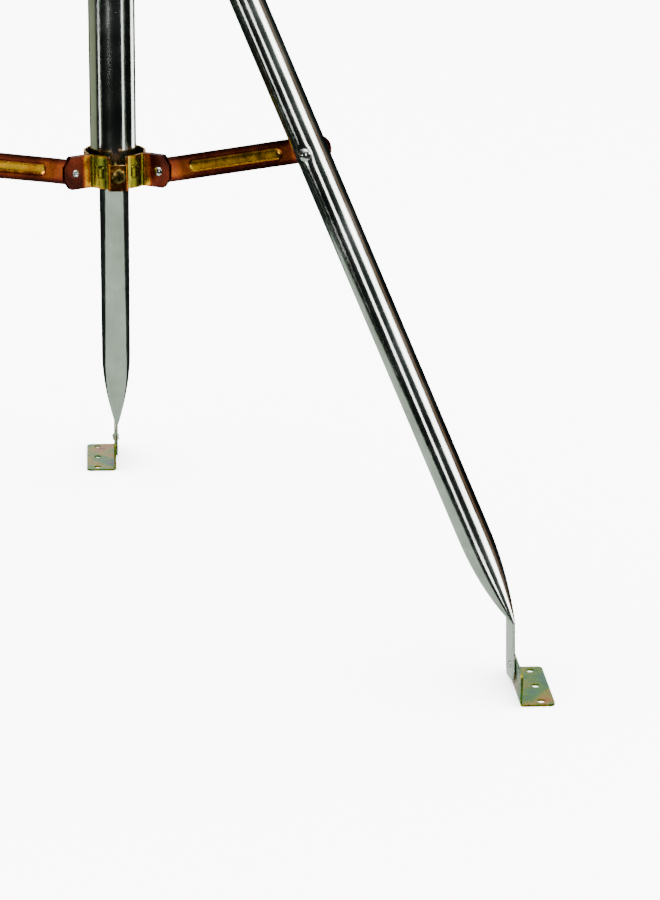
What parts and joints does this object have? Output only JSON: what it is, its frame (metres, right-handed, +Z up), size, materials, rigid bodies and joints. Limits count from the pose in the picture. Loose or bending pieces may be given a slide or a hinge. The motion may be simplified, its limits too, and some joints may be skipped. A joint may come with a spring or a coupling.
{
  "type": "folding mast tripod stand",
  "caption": "Folding steel tripod: three tube legs on a clamp ring, braced to a sliding collar, hold an upright round mast over hinged screw-down feet.",
  "frame": {"origin": "on the floor, on the axis of the two clamp rings", "axes": "+Z up along the mast, +Y towards the back leg, +X to the right as seen from the front"},
  "size_m": [0.8068, 0.7554, 1.05],
  "materials": {
    "zinc_tube": "bright zinc plated tube, glossy",
    "yellow_zinc": "yellow chromate over zinc, iridescent gold, red and olive",
    "yellow_zinc_fastener": "dark yellow chromate",
    "bright_rivet": "bright plated"
  },
  "bodies": {
    "head": {"head_segment_right": "yellow_zinc", "head_segment_left": "yellow_zinc", "head_segment_front": "yellow_zinc", "head_nut": "yellow_zinc_fastener", "pivot_bolt_right": "bright_rivet", "pivot_nut_right": "bright_rivet", "pivot_bolt_back": "bright_rivet", "pivot_nut_back": "bright_rivet", "pivot_bolt_left": "bright_rivet", "pivot_nut_left": "bright_rivet"},
    "mast": {"mast_tube": "zinc_tube"},
    "collar": {"collar_segment_right": "yellow_zinc", "collar_segment_left": "yellow_zinc", "collar_segment_front": "yellow_zinc", "collar_nut": "yellow_zinc_fastener", "ear_rivet_right": "bright_rivet", "ear_rivet_back": "bright_rivet", "ear_rivet_left": "bright_rivet"},
    "leg_right": {"leg_right": "zinc_tube", "brace_rivet_right": "bright_rivet", "foot_rivet_right": "bright_rivet"},
    "brace_right": {"brace_right": "yellow_zinc", "brace_rivet_tail_right": "bright_rivet"},
    "foot_right": {"foot_bracket_right": "yellow_zinc"},
    "leg_back": {"leg_back": "zinc_tube", "brace_rivet_back": "bright_rivet", "foot_rivet_back": "bright_rivet"},
    "brace_back": {"brace_back": "yellow_zinc", "brace_rivet_tail_back": "bright_rivet"},
    "foot_back": {"foot_bracket_back": "yellow_zinc"},
    "leg_left": {"leg_left": "zinc_tube", "brace_rivet_left": "bright_rivet", "foot_rivet_left": "bright_rivet"},
    "brace_left": {"brace_left": "yellow_zinc", "brace_rivet_tail_left": "bright_rivet"},
    "foot_left": {"foot_bracket_left": "yellow_zinc"},
    "head_set_bolt": {"head_set_bolt": "yellow_zinc_fastener"},
    "collar_set_bolt": {"collar_set_bolt": "yellow_zinc_fastener"}
  },
  "joints": [
    {"name": "mast_slide", "type": "slide", "parent": "head", "child": "mast", "axis": [0, 0, 1], "range_m": [-0.3, 0.3]},
    {"name": "leg_right_fold", "type": "hinge", "parent": "head", "child": "leg_right", "pos_m": [0.04503, -0.026, 0.80802], "axis": [0.5, 0.866, 0], "range_deg": [0, 19]},
    {"name": "leg_back_fold", "type": "hinge", "parent": "head", "child": "leg_back", "pos_m": [0, 0.052, 0.80802], "axis": [-1, 0, 0], "range_deg": [0, 19]},
    {"name": "leg_left_fold", "type": "hinge", "parent": "head", "child": "leg_left", "pos_m": [-0.04503, -0.026, 0.80802], "axis": [0.5, -0.866, 0], "range_deg": [0, 19]},
    {"name": "collar_slide", "type": "slide", "parent": "head", "child": "collar", "axis": [0, 0, 1], "range_m": [-0.15638, 0]},
    {"name": "brace_right_fold", "type": "hinge", "parent": "collar", "child": "brace_right", "pos_m": [0.04295, -0.02041, 0.452], "axis": [-0.5, -0.866, 0], "range_deg": [0, 59.37]},
    {"name": "foot_right_pivot", "type": "hinge", "parent": "leg_right", "child": "foot_right", "pos_m": [0.36841, -0.223, 0.01776], "axis": [1, 0, 0], "range_deg": [-45, 45]},
    {"name": "brace_back_fold", "type": "hinge", "parent": "collar", "child": "brace_back", "pos_m": [-0.0038, 0.0474, 0.452], "axis": [1, 0, 0], "range_deg": [0, 59.37]},
    {"name": "foot_back_pivot", "type": "hinge", "parent": "leg_back", "child": "foot_back", "pos_m": [0, 0.44441, 0.02098], "axis": [-1, 0, 0], "range_deg": [-45, 18]},
    {"name": "brace_left_fold", "type": "hinge", "parent": "collar", "child": "brace_left", "pos_m": [-0.03915, -0.02699, 0.452], "axis": [-0.5, 0.866, 0], "range_deg": [0, 59.37]},
    {"name": "foot_left_pivot", "type": "hinge", "parent": "leg_left", "child": "foot_left", "pos_m": [-0.36841, -0.223, 0.01776], "axis": [-1, 0, 0], "range_deg": [-45, 45]},
    {"name": "head_set_bolt_turn_out", "type": "slide", "parent": "head", "child": "head_set_bolt", "axis": [0, -1, 0], "range_m": [0, 0.008]},
    {"name": "collar_set_bolt_turn_out", "type": "slide", "parent": "collar", "child": "collar_set_bolt", "axis": [0.0819, -0.9966, 0], "range_m": [0, 0.008]}
  ],
  "couplings": [
    {"joint": "leg_back_fold", "follows": "leg_right_fold", "ratio": 1},
    {"joint": "leg_left_fold", "follows": "leg_right_fold", "ratio": 1},
    {"joint": "collar_slide", "follows": "leg_right_fold", "m_per_rad": -0.47006},
    {"joint": "brace_right_fold", "follows": "leg_right_fold", "ratio": 3.1143},
    {"joint": "brace_back_fold", "follows": "leg_right_fold", "ratio": 3.1143},
    {"joint": "brace_left_fold", "follows": "leg_right_fold", "ratio": 3.1143}
  ]
}
